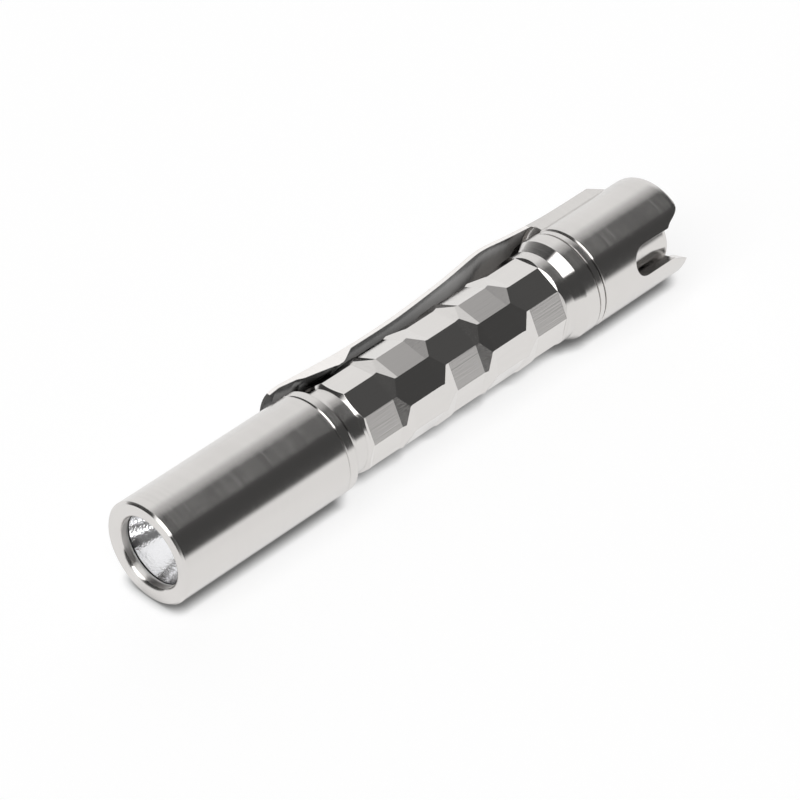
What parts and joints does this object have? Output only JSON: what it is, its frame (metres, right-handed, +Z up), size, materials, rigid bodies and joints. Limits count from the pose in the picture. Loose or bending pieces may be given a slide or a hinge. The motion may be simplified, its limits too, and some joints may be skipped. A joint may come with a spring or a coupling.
{
  "type": "flashlight",
  "caption": "Slim polished-steel pocket flashlight for one AAA cell, with a faceted grip, screw-on head and tail cap, recessed tail button, thumb slot and machined pocket clip.",
  "frame": {"origin": "centre of the bezel's front face, on the barrel's axis", "axes": "+X along the barrel from the bezel to the tail, +Z up as it lies, +Y towards the clip's side"},
  "size_m": [0.0932, 0.017, 0.0144],
  "materials": {
    "steel": "polished turned stainless steel",
    "glass": "clear coated",
    "reflector": "orange-peel vacuum metal",
    "seal": "matt",
    "white_plastic": "matt",
    "led": "silicone dome on white ceramic",
    "board": "solder mask",
    "brass": "turned",
    "spring": "plated wire",
    "wire": "insulation",
    "dark_plastic": "matt",
    "cell_can": "nickel plated",
    "cell_sleeve": "plain printed film",
    "silicone": "matt translucent silicone",
    "plunger": "moulded"
  },
  "bodies": {
    "tube": {"body_tube": "steel", "front_o_ring": "seal", "rear_o_ring": "seal", "battery_can": "cell_can", "battery_sleeve": "cell_sleeve", "battery_terminal": "cell_can"},
    "head_screw": {"driver_pill": "brass"},
    "head": {"head_shell": "steel", "lens_gasket": "seal", "lens": "glass", "reflector": "reflector", "centering_ring": "white_plastic", "led_package": "led", "led_dome": "led", "led_board": "board", "led_wires": "wire", "driver_board": "board", "driver_parts": "dark_plastic", "contact_spring": "spring"},
    "cap_screw": {"retaining_ring": "brass"},
    "cap": {"tail_cap": "steel", "switch_board": "board", "tail_spring": "spring", "button_seal": "silicone", "switch_housing": "dark_plastic", "switch_pins": "spring"},
    "clip": {"clip_arm": "steel"},
    "button": {"button_cap": "steel", "switch_plunger": "plunger", "switch_spring": "spring"}
  },
  "joints": [
    {"name": "head_feed", "type": "slide", "parent": "tube", "child": "head_screw", "axis": [-1, 0, 0], "range_m": [0, 0.005]},
    {"name": "head_turn", "type": "hinge", "parent": "head_screw", "child": "head", "pos_m": [0.0143, 0, 0], "axis": [-1, 0, 0], "range_deg": [0, 1800]},
    {"name": "cap_feed", "type": "slide", "parent": "tube", "child": "cap_screw", "axis": [1, 0, 0], "range_m": [0, 0.002]},
    {"name": "cap_turn", "type": "hinge", "parent": "cap_screw", "child": "cap", "pos_m": [0.0847, 0, 0], "axis": [1, 0, 0], "range_deg": [0, 720]},
    {"name": "clip_lift", "type": "hinge", "parent": "cap", "child": "clip", "pos_m": [0.07623, 0.00889, 0.00125], "axis": [0, 0.1392, -0.9903], "range_deg": [0, 2.5], "stiffness_Nm_per_rad": 4},
    {"name": "button_press", "type": "slide", "parent": "cap", "child": "button", "axis": [-1, 0, 0], "range_m": [0, 0.0012], "stiffness_N_per_m": 1500}
  ],
  "couplings": [
    {"joint": "head_turn", "follows": "head_feed", "rad_per_m": 6283.2},
    {"joint": "cap_turn", "follows": "cap_feed", "rad_per_m": 6283.2}
  ]
}
